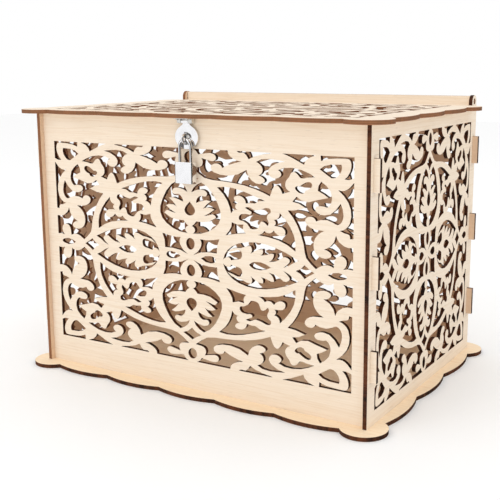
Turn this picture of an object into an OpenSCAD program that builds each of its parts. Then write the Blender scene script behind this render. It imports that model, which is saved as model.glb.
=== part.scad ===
// Wedding card box: flat-pack fretted plywood box with a hinged lid, a hasp and a small padlock.
// X runs along the front, Y from front to back, Z up. The origin is under the middle of the base.

/* [Box] */
// Width over the outer faces of the two side panels
box_w = 290; // [250:1:360]
// Depth of the side panels
box_d = 206; // [180:1:260]
// Height of the side panels above the base plate
wall_h = 204; // [180:1:260]
// Thickness of the plywood
ply = 3; // [2.6:0.1:4]

/* [Base and lid outline] */
// How far the base and the lid stand out past the walls
overhang = 10; // [8:0.5:16]
// Height of each scallop along the edges
lobe_rise = 4; // [2:0.5:6]
// Length of edge taken by each rounded corner
corner_len = 27.5; // [20:0.5:36]
// How far the centre of each corner's round lies in from the scallops' outer lines
corner_in = 13.8; // [12:0.2:16]
// Number of scallops along the front, between the corners
front_lobes = 5; // [3:1:8]
// Number of scallops along each side, between the corners
side_lobes = 3; // [2:1:6]

/* [Fretwork] */
// Solid border at the sides of the front and back windows
front_border_x = 10.5; // [8:0.5:20]
// Solid border above and below the front and back windows
front_border_z = 22; // [20:0.5:30]
// Solid border at the ends of the side windows
side_border_y = 12; // [11:0.5:20]
// Solid border above and below the side windows
side_border_z = 10; // [8:0.5:20]
// Solid border around the lid window, measured in from the walls' outer faces
lid_border = 13.5; // [12:0.5:20]
// Largest turn of an outline between two points of a curve
curve_step = 26; // [12:1:40]

/* [Card slot] */
// Length of the slot in the lid
slot_l = 190; // [120:1:210]
// Width of the slot in the lid
slot_w = 9; // [6:0.5:14]
// Solid border around the slot
slot_border = 7; // [5:0.5:10]

/* [Panel joints] */
// How far the front and back panels stand behind the edges of the side panels
panel_setback = 4; // [3:0.5:7]
// Height of each tab on the panels' ends
tab_l = 22; // [16:1:30]
// Distance between those tabs
tab_pitch = 64; // [50:1:70]
// How far the row of tabs sits above the middle of the wall
tab_rise = 5; // [0:1:8]
// How far the tabs stand out of the side panels
tab_proud = 4.5; // [1:0.5:7]
// Length of each tab that goes down through the base
foot_l = 30; // [16:1:40]
// Clearance around a tab in its slot
joint_gap = 0.1; // [0.05:0.05:0.3]

/* [Lid hinge] */
// Radius of the rounded ears on the side panels
ear_r = 5; // [4.8:0.1:5.4]
// Distance of the hinge axis from the rear edge of the side panels
pivot_inset = 5.6; // [5.4:0.1:6.4]
// Height of the hinge axis above the top face of the lid
pivot_rise = 3.1; // [3:0.1:4]
// Height of the rail that joins the lid to the ears
rail_h = 7.4; // [7:0.1:8]
// Diameter of the round holes in the ears
pivot_hole = 4.7; // [4.6:0.1:5.2]
// Side of the square pins at the ends of the rail
pivot_pin = 3; // [2.6:0.1:3.1]
// Length of each tab that joins the rail to the lid
rail_tab = 30; // [16:1:40]
// Gap between the lid's rear corners and the ears
wing_gap = 4.4; // [1:0.2:8]
// Gap between the lid and the parts it swings past
swing_gap = 0.4; // [0.3:0.1:0.8]
// Gap between the top of the walls and the closed lid
lid_gap = 0.2; // [0.1:0.1:0.5]

/* [Hasp] */
// Width of the leaf
leaf_w = 20; // [16:0.5:22]
// Metal left below the slot in the leaf
leaf_land = 3; // [1.5:0.1:4]
// Thickness of the hasp's sheet metal
leaf_t = 1; // [0.8:0.1:1.2]
// Diameter of the hasp's hinge pin
hasp_pin_d = 1.4; // [1.2:0.1:1.6]
// Outer radius of the hasp's knuckles
knuckle_r = 1.6; // [1.5:0.1:1.8]
// Width of the plate under the lid
hasp_w = 13; // [12:1:20]
// Height of the staple's eye below the underside of the lid
eye_drop = 15; // [14.6:0.1:16]
// Diameter of the staple's wire
staple_d = 1.8; // [1.6:0.1:2]
// Radius of the opening in the staple's eye
eye_r = 2.2; // [2.1:0.1:2.5]

/* [Padlock] */
// Width of the padlock's body
lock_w = 15.6; // [14:0.2:17]
// Height of the padlock's body
lock_h = 15.6; // [15:0.2:20]
// Thickness of the padlock's body
lock_t = 6.4; // [6:0.1:6.6]
// Distance between the shackle's two legs
shackle_pitch = 9.8; // [9.6:0.1:10.2]
// Diameter of the shackle's bar
shackle_d = 2.4; // [2.2:0.1:2.4]
// Height from the padlock's body to the top of the shackle
shackle_h = 17; // [16:0.5:20]
// How far the body drops when the padlock is opened
lock_drop = 7.5; // [7:0.1:8]

/* [Hidden] */

$fn = 48;
eps = 0.01;

// The wood and the metal, as they look
pale_ply = "#ecdcc4";
base_ply = "#ebd3ae";
nickel = "#d9dadd";
bright_nickel = "#eceef0";

// Levels and faces that several pieces share
wall_z0 = ply;
wall_z1 = ply + wall_h;
wall_mid = ply + wall_h / 2;
lid_z = wall_z1 + lid_gap;
lid_top = lid_z + ply;
panel_face = box_d / 2 - panel_setback;
inner_x = box_w / 2 - ply;
pivot_y = box_d / 2 - pivot_inset;
pivot_z = lid_top + pivot_rise;
lid_rear = pivot_y + ply / 2;
plate_w = box_w + 2 * overhang;
plate_d = box_d + 2 * overhang;
lid_front = -plate_d / 2;
lid_wing = pivot_y - ear_r - wing_gap;
lid_mid = (lid_front + lid_rear) / 2;
back_top = wall_z1 - 1.2;
tab_levels = [for (i = [-1:1]) wall_mid + tab_rise + i * tab_pitch];
front_foot_x = [for (i = [-1, 1]) i * box_w * 0.29];
side_foot_y = [for (i = [-1, 1]) i * box_d * 0.27];
rail_tab_x = [for (i = [-1:1]) i * box_w * 0.34];

// Half sizes of the fretted windows
front_win = [inner_x - front_border_x, wall_h / 2 - front_border_z];
side_win = [box_d / 2 - side_border_y, wall_h / 2 - side_border_z];
lid_win = [box_w / 2 - lid_border, (lid_rear - lid_front) / 2 - overhang - lid_border / 2];

// Hasp: plate under the lid, pin, leaf, staple
staple_t = 0.8;
leaf_back = -panel_face - staple_t - 0.5;
leaf_front = leaf_back - leaf_t;
pin_y = leaf_back - knuckle_r;
pin_z = lid_z - staple_t - knuckle_r - 0.3;
eye_z = lid_z - eye_drop;
slot_half = [staple_d / 2 + 1, eye_r + staple_d + 0.6];
leaf_low = eye_z - slot_half[1] - leaf_land;
leaf_neck = pin_z - knuckle_r - 0.7;
leaf_half = [leaf_w / 2, (leaf_neck - 0.4 - leaf_low) / 2];
eye_y = leaf_front - shackle_d / 2 - 0.4;
hasp_plate_front = lid_front + lobe_rise + 1;
hasp_screw_x = hasp_w / 3;
hasp_screw_y = (pin_y - knuckle_r + hasp_plate_front) / 2;
knuckle_half = 3;
staple_plate_w = 15;
staple_plate_h = 11;
screw_depth = 2.2;
screw_r = 0.8;
screw_head_r = 1.4;

// Padlock
bow_z = eye_z - (eye_r - shackle_d / 2 - 0.3);
lock_top = bow_z + shackle_d / 2 - shackle_h;
lock_bottom = lock_top - lock_h;
leg_x = shackle_pitch / 2;
bore_r = shackle_d / 2 + 0.2;
plug_r = 2.2;
plug_l = 8;
latch_h = 1.4;
latch_z = lock_top - 2.8;
latch_bite = 0.7;
latch_slope = 0.3;
cone_l = latch_bite / latch_slope;
short_leg_end = latch_z - latch_h / 2 - 0.2 - cone_l;
long_leg_end = lock_top - lock_drop - 1.5;
spring_l = 4;

// ---------------------------------------------------------------------------------------------
// Curves: a closed outline is a list of [x, y] points on smooth curves and [x, y, 1] corners.
// Each span is a cubic whose ends follow the circle through the neighbouring points.

function is_corner(p) = len(p) > 2;
function flat2(p) = [p[0], p[1]];
function unit(v) = v / max(norm(v), 1e-9);
// Direction of the circle through three points, at the middle one
function through(a, b, c) = unit((b - a) / pow(norm(b - a), 2) + (c - b) / pow(norm(c - b), 2));
// Direction at the far end of a chord of a circle that leaves with direction t
function mirror_dir(t, c) = 2 * (t * c) * c - t;
function turn(a, b) = acos(min(1, max(-1, a * b)));
function cubic(p, q, m, n, s) =
  (2 * s * s * s - 3 * s * s + 1) * p + (s * s * s - 2 * s * s + s) * m
  + (3 * s * s - 2 * s * s * s) * q + (s * s * s - s * s) * n;
// Points of one span, from a to b; before and after are its neighbours
function span(before, a, b, after) =
  let (
    p = flat2(a),
    q = flat2(b),
    chord = unit(q - p),
    own_a = through(flat2(before), p, q),
    own_b = through(p, q, flat2(after)),
    dir_a = is_corner(a) ? (is_corner(b) ? chord : mirror_dir(own_b, chord)) : own_a,
    dir_b = is_corner(b) ? (is_corner(a) ? chord : mirror_dir(own_a, chord)) : own_b,
    steps = max(1, ceil((turn(dir_a, chord) + turn(chord, dir_b)) / curve_step)),
    reach = norm(q - p)
  )
  [for (k = [0:steps - 1]) cubic(p, q, dir_a * reach, dir_b * reach, k / steps)];
function curved(pts) =
  let (n = len(pts))
  [for (i = [0:n - 1]) each span(pts[(i + n - 1) % n], pts[i], pts[(i + 1) % n], pts[(i + 2) % n])];
// A half outline closed by its own mirror image, across the Y axis (side = 0) or the X axis (side = 1)
function flipped(p, side) = concat([side == 0 ? -p[0] : p[0], side == 1 ? -p[1] : p[1]], len(p) > 2 ? [1] : []);
function both_halves(half, side) =
  concat(half, [for (i = [len(half) - 2:-1:1]) flipped(half[i], side)]);
function fitted(pts, s) = [for (p = pts) concat([p[0] * s[0], p[1] * s[1]], len(p) > 2 ? [1] : [])];

// ---------------------------------------------------------------------------------------------
// The fretwork: the openings of one quarter of a window, drawn on a half window of 132 by 80.

fret_size = [132, 80];

// Holes that lie across the upright middle line, as right halves
upright_holes = [
  // centre ring
  [[0, 5.6], [3, 7.4], [3.8, 10.6], [2.5, 13.4], [0, 14.4]],
  // heart of the upright lotus
  [[0, 31], [3.4, 32.2], [4.8, 34.8], [3.2, 38], [0, 41.2, 1]],
  // diamond above the lotus
  [[0, 54, 1], [3.8, 56.9], [8.3, 58.5, 1], [4, 60.6], [0, 63, 1]],
  // knot under the top border
  [[0, 69.8], [3, 71.4], [4, 74.2], [2.6, 76.9], [0, 78]]
];

// Holes that lie across the level middle line, as upper halves
level_holes = [
  // centre almond
  [[9.2, 0, 1], [13.5, 2.2], [18, 2.7], [21.5, 1.6], [22.5, 0]],
  // heart of the level palmette
  [[50.8, 0, 1], [55, 2.6], [60.5, 2.9], [65, 1.8], [69, 0, 1]],
  // diamond beyond the palmette
  [[88.7, 0, 1], [92.5, 1.7], [95.6, 4.8, 1], [99, 2.4], [103.2, 0, 1]],
  // knot beside the end border
  [[113.3, 0, 1], [117, 1.8], [121.3, 2.5], [125.5, 1.7], [127.8, 0]]
];

// Openings that repeat in all four quarters
quarter_holes = [
  // gap between the centre ring, the almond and the two pods
  [
    [2.2, 1.8, 1], [6.6, 4.7], [9, 8], [9.9, 11.5], [8.6, 14.3, 1], [14, 14], [20, 14.7],
    [25.8, 15.9, 1], [23.8, 11], [23.4, 5.2, 1], [16, 5.3], [9, 4.4]
  ],
  // upright pod, around the lotus
  [
    [2, 17.8, 1], [4.4, 20.3], [1.5, 23.3, 1], [3.6, 24.8], [5.6, 27.1, 1], [11, 27], [17, 28],
    [23.3, 31.2, 1], [20.6, 33.5], [17, 32.6], [12.6, 31.7, 1], [17, 33.9], [21.8, 37.1, 1],
    [18.5, 38.1], [15, 38.2], [11.6, 36.6, 1], [15.2, 40.4], [18.9, 42.9, 1], [15, 43.5],
    [10.5, 42.4], [5.8, 40.8, 1], [6.9, 44.2], [10, 46.2], [14.4, 46.1], [15.7, 48],
    [14, 50.1], [9.5, 50.8], [5.5, 50], [1.7, 48.2, 1], [3.6, 51.6], [7, 54.3], [10.8, 55.9, 1],
    [16, 53.2], [21, 48], [24.7, 41.8], [27, 36], [27.2, 31.5], [25.4, 27.3], [21.5, 23.6],
    [16, 20.5], [9.5, 18.4]
  ],
  // above the sprig, inside the long band
  [
    [24.4, 53.4, 1], [31, 54.2], [38, 53.7], [46, 52.2], [55, 49.5], [64.3, 46.6, 1],
    [59.5, 46.1], [56, 44.2], [52.5, 44.3], [48.6, 43.6, 1], [47.6, 46.4], [45, 48.3],
    [41.3, 48.5], [38.5, 46.7], [39.7, 44.8], [43.3, 43.8, 1], [40.3, 42.3], [39.7, 40.2],
    [41.9, 38.6, 1], [38.5, 38], [36.1, 35.6, 1], [35.1, 39.8], [33.2, 44.2], [29.8, 48.8]
  ],
  // heart of the sprig
  [
    [47.7, 40.6, 1], [51.2, 41.3], [56, 39.3], [60.5, 40.2], [65, 41.8], [68.6, 40.9],
    [68.8, 38.8], [66.4, 37], [65.8, 34.4], [67.2, 31.6], [66.4, 29.2, 1], [64.2, 31.1],
    [61.3, 32], [59.7, 29.8], [59, 27.6], [56.4, 26.1], [52.2, 26.1, 1], [49.5, 29.4],
    [46, 31.1], [43, 31.6], [42.7, 33.8], [44.8, 35.8], [48.5, 36.3], [52.8, 36.4],
    [53.3, 37.7], [51.4, 38.9]
  ],
  // between the sprig's foot and the pods
  [
    [36.6, 29.3, 1], [41.5, 28], [46.6, 28.6, 1], [46, 25.8], [48.3, 22.4, 1], [42, 21.6],
    [36, 20.4], [31.1, 19.3, 1], [34.4, 23], [36.3, 26.3]
  ],
  // below the sprig's lower leaves
  [
    [58, 22.2, 1], [61.2, 23.1], [63.7, 25.5, 1], [67.3, 24.2], [71.3, 26.5, 1], [74, 24],
    [77.5, 23.1], [80.3, 24.6], [80.2, 27.3], [77.8, 29.3], [74.5, 29.7], [71.2, 29.8, 1],
    [72.9, 31.4], [71.3, 33.9, 1], [75, 35.6], [76, 39.2, 1], [80.4, 35], [84.5, 29.8],
    [87.4, 24.2], [88.5, 19], [88.5, 13.5, 1], [82, 17.4], [75, 20], [67, 21.4]
  ],
  // level pod, around the palmette
  [
    [28.8, 1.2, 1], [30.2, 5.2], [32.7, 8.7], [36.5, 11.8], [42, 14.4], [49, 16.1], [57, 16.7],
    [65, 16], [73, 14.3], [81, 11.8], [87, 9.1], [91.2, 7.3, 1], [87, 5.4], [83, 2.8],
    [78.8, 1, 1], [82, 3.6], [84, 6.6], [82.2, 8.3], [78.8, 8.5], [76.1, 6.6], [72.5, 4.8],
    [67.2, 3.8, 1], [70.3, 6.4], [71.4, 9.8, 1], [69, 10], [65, 8.6], [60.2, 7.6, 1],
    [62.4, 9.8], [62.1, 12.3, 1], [58.5, 11.8], [55.3, 10.2], [52, 8.1, 1], [53.4, 10.8],
    [52.2, 13.7, 1], [48.5, 13.1], [44.5, 11.5], [40, 11], [36, 10], [32.2, 7.2, 1],
    [37, 8.4], [41, 9.7], [44.2, 9], [45, 6.2], [43.8, 3.6], [40, 2.7], [35.6, 1.6, 1],
    [34, 3.5], [31.4, 3.3]
  ],
  // long opening between the band and the top border
  [
    [3, 66.2, 1], [8, 66.7], [11.5, 68.2], [12.3, 70.8], [11.2, 73.6, 1], [15.5, 72.6],
    [20, 71.8], [23.2, 72.7], [23.8, 75], [21.5, 77], [16.5, 77.3], [8.4, 76.1, 1],
    [6.8, 78.3], [3.6, 80, 1], [33.8, 80, 1], [34.3, 77.7], [38, 74.7], [45.4, 72.8, 1],
    [40, 71.6], [34.5, 69.9], [29, 67.4, 1], [27.4, 69.5], [23.6, 70.3], [20, 68.9],
    [19.2, 66.4], [21.8, 64], [27, 62.6], [34, 62.2], [42, 63.6], [49.4, 67.2, 1],
    [50.6, 63.4], [53.2, 60.3], [57, 58.3], [61.5, 58.4], [64.3, 60.7], [62.5, 62.7],
    [59, 63.9, 1], [61.8, 65.8], [62.5, 68.6], [60.6, 71.4], [57.2, 73.2, 1], [61.5, 75.2],
    [68, 75.8], [74.5, 75.3], [80.4, 74.6, 1], [74.5, 73.4], [69.6, 71], [67, 67.6],
    [67.9, 64.4], [71.3, 62.7], [75.4, 63.4], [77.3, 65.5], [76.7, 67.1], [74.7, 68.5, 1],
    [79.5, 70.3], [86, 70.7], [93, 69.7], [99, 67.6], [103.4, 65.4, 1], [97.5, 64.8],
    [92.3, 64.1], [90, 66.5], [86.8, 68.1], [85, 67.2], [83.6, 64.5], [80.9, 61.4],
    [80.6, 57.6], [84.3, 54.4, 1], [81, 53.4], [78.1, 52.5, 1], [76.6, 55.7], [73.2, 58.1],
    [70.2, 55], [68.3, 50.1, 1], [63.5, 52], [56, 54.4], [47, 56.3], [38, 57.4], [29, 58],
    [20, 58.4], [13.5, 59.5], [8.5, 62.3]
  ],
  // above the band's shoulder
  [
    [41.3, 80, 1], [43, 78.9], [47.2, 79], [49.4, 77.3], [51.1, 74.7, 1], [56, 76.9],
    [62, 78.5], [68.5, 79.4], [70, 80, 1]
  ],
  // beside the corner leaf
  [
    [78, 80, 1], [81.5, 79], [86, 77.3], [94.9, 73.3, 1], [96, 75.8], [99, 78.3], [104, 80, 1]
  ],
  // leaf at the corner
  [
    [106.7, 70.9, 1], [110, 73.2], [115, 74.5], [122.6, 74.8, 1], [123.1, 72], [121.2, 68.2],
    [118.6, 65.9], [115.3, 65.6], [111.5, 67.9]
  ],
  // corner itself
  [
    [107.3, 80, 1], [107.6, 76.4, 1], [112.5, 78], [119, 78.7], [125, 78.9], [128.6, 78.3],
    [129.8, 75.3], [129.1, 70.7], [127.4, 67.5], [125, 65.3, 1], [128.3, 65.1], [132, 66.4, 1],
    [132, 80, 1]
  ],
  // below the corner, outside the scroll
  [
    [120.3, 58.1, 1], [125, 57.8], [129, 60.2], [132, 63.6, 1], [132, 26.4, 1], [129.5, 26.1, 1],
    [128.9, 28.8], [125.6, 29.6], [122, 31, 1], [126.4, 32.8], [129.2, 36.4], [130.2, 41],
    [129.8, 45.6], [128, 50.2], [124.7, 54.4]
  ],
  // butterfly
  [
    [88, 57.2], [91.2, 58.3, 1], [93.4, 59.8], [96.2, 61.4], [100.4, 61.4], [101.2, 59.6],
    [99.2, 57.3], [96, 56, 1], [95, 54.2], [92, 53.9], [89.3, 55.3]
  ],
  // long opening between the band, the scroll and the end border
  [
    [82.3, 41.4, 1], [88, 42], [96.2, 44.2, 1], [91, 46.8], [86, 47.7, 1], [89.2, 51.4, 1],
    [93, 49], [98.5, 48.3], [105, 50.2], [113.4, 52.3, 1], [110, 54.4], [105.4, 56.5, 1],
    [105.9, 59.8], [107.9, 62.8, 1], [111.8, 60.2], [114.9, 56.8], [116, 52.8], [115.2, 48.5],
    [112.5, 45.7, 1], [107.8, 46.4], [104.1, 45.4], [103.5, 43.4], [106, 41.3], [110.2, 40.4],
    [114.8, 41.3], [119, 44.6], [122.4, 49.2, 1], [123.9, 45.6], [124.6, 41.4], [123.4, 37],
    [120.4, 34.7], [117, 36], [112.5, 37.4], [107.8, 37.1], [104.2, 35.8, 1], [102.6, 38],
    [98.8, 38.5], [95.9, 36], [97.3, 32.8], [102.5, 30.3], [110.5, 29.8, 1], [105.4, 26.5],
    [102.6, 21.6], [102.7, 16.8], [104.7, 13.3], [108.4, 11.4], [113, 11.4], [116, 13.6],
    [114.4, 15.9], [110.2, 17, 1], [114.8, 19.4], [117.8, 22.9], [119.3, 27.6, 1],
    [121.4, 23.5], [125, 21], [132, 20.4, 1], [132, 5.4, 1], [128.3, 5.8], [124.8, 5, 1],
    [127.1, 8.1], [127, 11.6], [123.8, 14], [119.9, 13], [118.2, 9.5], [117.8, 5.3, 1],
    [113.5, 6.8], [108.5, 5.7], [104.3, 3.1, 1], [100.4, 6.2], [96.9, 9.7], [95.7, 13.5],
    [94.7, 19.5], [92.6, 25.8], [89.8, 31.8], [86.4, 37]
  ]
];

// All the openings of a window with the given half sizes
module fretwork(half) {
  s = [half[0] / fret_size[0], half[1] / fret_size[1]];
  for (hole = upright_holes, up = [-1, 1])
    polygon(curved(fitted(both_halves(hole, 0), [s[0], up * s[1]])));
  for (hole = level_holes, side = [-1, 1])
    polygon(curved(fitted(both_halves(hole, 1), [side * s[0], s[1]])));
  for (hole = quarter_holes, side = [-1, 1], up = [-1, 1])
    polygon(curved(fitted(hole, [side * s[0], up * s[1]])));
}

// ---------------------------------------------------------------------------------------------
// Flat shapes

module rect(x0, x1, y0, y1) {
  translate([x0, y0])
    square([x1 - x0, y1 - y0]);
}

// Scallops along one edge: circle segments that stand on the line y = 0, each run a hair into the next
module scallops(count, pitch) {
  bulge_r = (pitch * pitch / 4 + lobe_rise * lobe_rise) / (2 * lobe_rise);
  for (i = [0:count - 1])
    translate([(i - (count - 1) / 2) * pitch, 0])
      intersection() {
        translate([0, lobe_rise - bulge_r])
          circle(r = bulge_r, $fn = 180);
        rect(-pitch / 2 - eps, pitch / 2 + eps, -lobe_rise, lobe_rise + 1);
      }
}

// A plate with scalloped edges and full round corners; w and d are measured over the scallops
module scalloped_plate(w, d) {
  corner_r = norm([corner_len - corner_in, lobe_rise - corner_in]);
  edge = [w / 2 - lobe_rise, d / 2 - lobe_rise];
  core = [edge[0] - eps, edge[1] - eps];
  union() {
    rect(-core[0], core[0], -core[1], core[1]);
    for (x = [-1, 1], y = [-1, 1])
      translate([x * (w / 2 - corner_in), y * (d / 2 - corner_in)])
        circle(r = corner_r, $fn = 96);
    for (y = [-1, 1])
      translate([0, y * edge[1]])
        rotate(y > 0 ? 0 : 180)
          scallops(front_lobes, (w - 2 * corner_len) / front_lobes);
    for (x = [-1, 1])
      translate([x * edge[0], 0])
        rotate(-90 * x)
          scallops(side_lobes, (d - 2 * corner_len) / side_lobes);
  }
}

// ---------------------------------------------------------------------------------------------
// Placing flat pieces

// Upright, facing the front: drawing X is X, drawing Y is Z, front face at y
module facing_front(y) {
  translate([0, y + ply, 0])
    rotate([90, 0, 0])
      linear_extrude(ply)
        children();
}

// Upright, facing the side: drawing X is Y, drawing Y is Z, left face at x
module facing_side(x) {
  translate([x, 0, 0])
    rotate([90, 0, 90])
      linear_extrude(ply)
        children();
}

// ---------------------------------------------------------------------------------------------
// Wooden pieces

module base_plate() {
  g = joint_gap;
  color(base_ply)
    linear_extrude(ply)
      difference() {
        scalloped_plate(plate_w, plate_d);
        for (x = front_foot_x)
          for (y = [-panel_face, panel_face - ply])
            rect(x - foot_l / 2 - g, x + foot_l / 2 + g, y - g, y + ply + g);
        for (y = side_foot_y)
          for (x = [-box_w / 2, inner_x])
            rect(x - g, x + ply + g, y - foot_l / 2 - g, y + foot_l / 2 + g);
      }
}

// Outline of the front or back panel, with its end tabs and feet
module cross_panel(top) {
  difference() {
    union() {
      rect(-inner_x, inner_x, wall_z0, top);
      for (z = tab_levels)
        rect(-box_w / 2 - tab_proud, box_w / 2 + tab_proud, z - tab_l / 2, z + tab_l / 2);
      for (x = front_foot_x)
        rect(x - foot_l / 2, x + foot_l / 2, 0, wall_z0 + 1);
    }
    translate([0, wall_mid])
      fretwork(front_win);
  }
}

module front_panel() {
  color(pale_ply)
    difference() {
      facing_front(-panel_face)
        cross_panel(wall_z1);
      for (x = [-1, 1])
        translate([x * staple_screw_x, -panel_face - 1, eye_z])
          rotate([-90, 0, 0])
            cylinder(r = screw_r, h = 1 + screw_depth);
    }
}

module back_panel() {
  color(pale_ply)
    facing_front(panel_face - ply)
      cross_panel(back_top);
}

// A side panel: slots for the tabs, feet, and the rounded ear with the hinge hole
module side_panel(x) {
  g = joint_gap;
  color(pale_ply)
    facing_side(x)
      difference() {
        union() {
          rect(-box_d / 2, box_d / 2, wall_z0, wall_z1);
          rect(pivot_y - ear_r, pivot_y + ear_r, wall_z1 - 1, pivot_z);
          translate([pivot_y, pivot_z])
            circle(r = ear_r);
          for (y = side_foot_y)
            rect(y - foot_l / 2, y + foot_l / 2, 0, wall_z0 + 1);
        }
        translate([0, wall_mid])
          fretwork(side_win);
        for (z = tab_levels)
          for (y = [-panel_face, panel_face - ply])
            rect(y - g, y + ply + g, z - tab_l / 2 - g, z + tab_l / 2 + g);
        translate([pivot_y, pivot_z])
          circle(d = pivot_hole);
      }
}

module left_side() {
  side_panel(-box_w / 2);
}

module right_side() {
  side_panel(inner_x);
}

module lid_panel() {
  g = joint_gap;
  tongue = inner_x - swing_gap;
  color(pale_ply)
    translate([0, 0, lid_z])
      difference() {
        linear_extrude(ply)
          difference() {
            union() {
              difference() {
                union() {
                  translate([0, (lid_wing + lid_front) / 2])
                    scalloped_plate(plate_w, lid_wing - lid_front);
                  rect(-tongue, tongue, lid_mid, lid_rear);
                }
                translate([0, lid_mid])
                  fretwork(lid_win);
              }
              translate([0, lid_mid])
                square([slot_l + 2 * slot_border, slot_w + 2 * slot_border], center = true);
            }
            translate([0, lid_mid])
              square([slot_l, slot_w], center = true);
            for (x = rail_tab_x)
              rect(x - rail_tab / 2 - g, x + rail_tab / 2 + g, pivot_y - ply / 2, lid_rear + 1);
          }
        for (x = [-1, 1])
          translate([x * hasp_screw_x, hasp_screw_y, -1])
            cylinder(r = screw_r, h = 1 + screw_depth);
      }
}

// The rail stands on the lid's rear edge; its square end pins turn in the ears
module hinge_rail() {
  rail_end = inner_x - swing_gap;
  color(pale_ply)
    translate([0, pivot_y + ply / 2, 0])
      rotate([90, 0, 0])
        linear_extrude(ply)
          union() {
            rect(-rail_end, rail_end, lid_top, lid_top + rail_h);
            rect(-box_w / 2, box_w / 2, pivot_z - pivot_pin / 2, pivot_z + pivot_pin / 2);
            for (x = rail_tab_x)
              rect(x - rail_tab / 2, x + rail_tab / 2, lid_z, lid_top + 1);
          }
}

// ---------------------------------------------------------------------------------------------
// Hasp

staple_screw_x = staple_plate_w / 2 - screw_head_r - 0.7;

// A knuckle along X, bored for the pin
module knuckle(x0, x1, r) {
  translate([x0, pin_y, pin_z])
    rotate([0, 90, 0])
      cylinder(r = r, h = x1 - x0);
}

module pin_bore(clearance) {
  translate([-hasp_w, pin_y, pin_z])
    rotate([0, 90, 0])
      cylinder(d = hasp_pin_d + 2 * clearance, h = 2 * hasp_w);
}

module hasp_lid_plate() {
  color(nickel)
    difference() {
      union() {
        translate([-hasp_w / 2, hasp_plate_front, lid_z - staple_t])
          cube([hasp_w, pin_y - hasp_plate_front + knuckle_r * 0.5, staple_t]);
        for (x = [-1, 1])
          translate([x > 0 ? knuckle_half + 0.3 : -hasp_w / 2, 0, 0])
            lid_knuckle(hasp_w / 2 - knuckle_half - 0.3);
      }
      pin_bore(0);
      for (x = [-1, 1])
        translate([x * hasp_screw_x, hasp_screw_y, lid_z - staple_t - 1])
          cylinder(r = screw_r, h = staple_t + 2);
    }
}

// One of the plate's two knuckles, with the strap that joins it to the plate
module lid_knuckle(w) {
  translate([0, pin_y, pin_z])
    rotate([0, 90, 0])
      cylinder(r = knuckle_r, h = w);
  translate([0, pin_y - knuckle_r, pin_z])
    cube([w, knuckle_r * 2 * 0.9, lid_z - staple_t / 2 - pin_z]);
}

module hasp_lid_screws() {
  color(nickel)
    for (x = [-1, 1])
      translate([x * hasp_screw_x, hasp_screw_y, lid_z - staple_t]) {
        cylinder(r = screw_r, h = staple_t + screw_depth);
        difference() {
          translate([0, 0, -0.8])
            cylinder(r1 = screw_head_r - 0.4, r2 = screw_head_r, h = 0.8);
          translate([-screw_head_r, -0.2, -1])
            cube([2 * screw_head_r, 0.4, 0.6]);
        }
      }
}

module hasp_pin() {
  color(bright_nickel)
    translate([-hasp_w / 2 - 0.3, pin_y, pin_z])
      rotate([0, 90, 0])
        cylinder(d = hasp_pin_d, h = hasp_w + 0.6);
}

// Oval plate whose shoulders rise to a narrow neck between the knuckles
module leaf_outline() {
  shoulder = 0.74;
  rise = sqrt(1 - shoulder * shoulder);
  mid = leaf_low + leaf_half[1];
  polygon([for (a = [0:5:355]) [leaf_half[0] * cos(a), mid + leaf_half[1] * sin(a)]]);
  polygon([
    [-knuckle_half, pin_z], [-knuckle_half, leaf_neck],
    [-leaf_half[0] * shoulder, mid + leaf_half[1] * rise],
    [leaf_half[0] * shoulder, mid + leaf_half[1] * rise],
    [knuckle_half, leaf_neck], [knuckle_half, pin_z]
  ]);
}

module hasp_leaf() {
  color(bright_nickel)
    difference() {
      union() {
        translate([0, leaf_back, 0])
          rotate([90, 0, 0])
            linear_extrude(leaf_t)
              leaf_outline();
        knuckle(-knuckle_half, knuckle_half, knuckle_r);
      }
      pin_bore(0.1);
      translate([-slot_half[0], leaf_front - 1, eye_z - slot_half[1]])
        cube([2 * slot_half[0], leaf_t + 2, 2 * slot_half[1]]);
    }
}

module staple_plate() {
  wire_z = eye_r + staple_d / 2;
  color(nickel)
    difference() {
      translate([-staple_plate_w / 2, -panel_face - staple_t, eye_z - staple_plate_h / 2])
        cube([staple_plate_w, staple_t, staple_plate_h]);
      for (x = [-1, 1])
        translate([x * staple_screw_x, -panel_face - staple_t - 1, eye_z])
          rotate([-90, 0, 0])
            cylinder(r = screw_head_r, h = staple_t + 2);
      for (z = [-1, 1])
        translate([0, -panel_face - staple_t - 1, eye_z + z * wire_z])
          rotate([-90, 0, 0])
            cylinder(d = staple_d, h = staple_t + 2);
    }
}

// A wire loop: two straight legs and a half ring, standing out of the staple plate
module staple() {
  wire_z = eye_r + staple_d / 2;
  color(bright_nickel) {
    for (z = [-1, 1])
      translate([0, eye_y, eye_z + z * wire_z])
        rotate([-90, 0, 0])
          cylinder(d = staple_d, h = -panel_face - eye_y);
    translate([0, eye_y, eye_z])
      rotate([0, 90, 0])
        rotate([0, 0, -180])
          rotate_extrude(angle = 180, $fn = 64)
            translate([wire_z, 0])
              circle(d = staple_d, $fn = 32);
  }
}

module staple_screws() {
  color(nickel)
    for (x = [-1, 1])
      translate([x * staple_screw_x, -panel_face - staple_t, eye_z])
        rotate([-90, 0, 0])
          difference() {
            union() {
              cylinder(r = screw_head_r, h = staple_t);
              cylinder(r = screw_r, h = staple_t + screw_depth);
            }
            translate([-screw_head_r, -0.2, -1])
              cube([2 * screw_head_r, 0.4, 1.3]);
          }
}

// ---------------------------------------------------------------------------------------------
// Padlock

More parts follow.
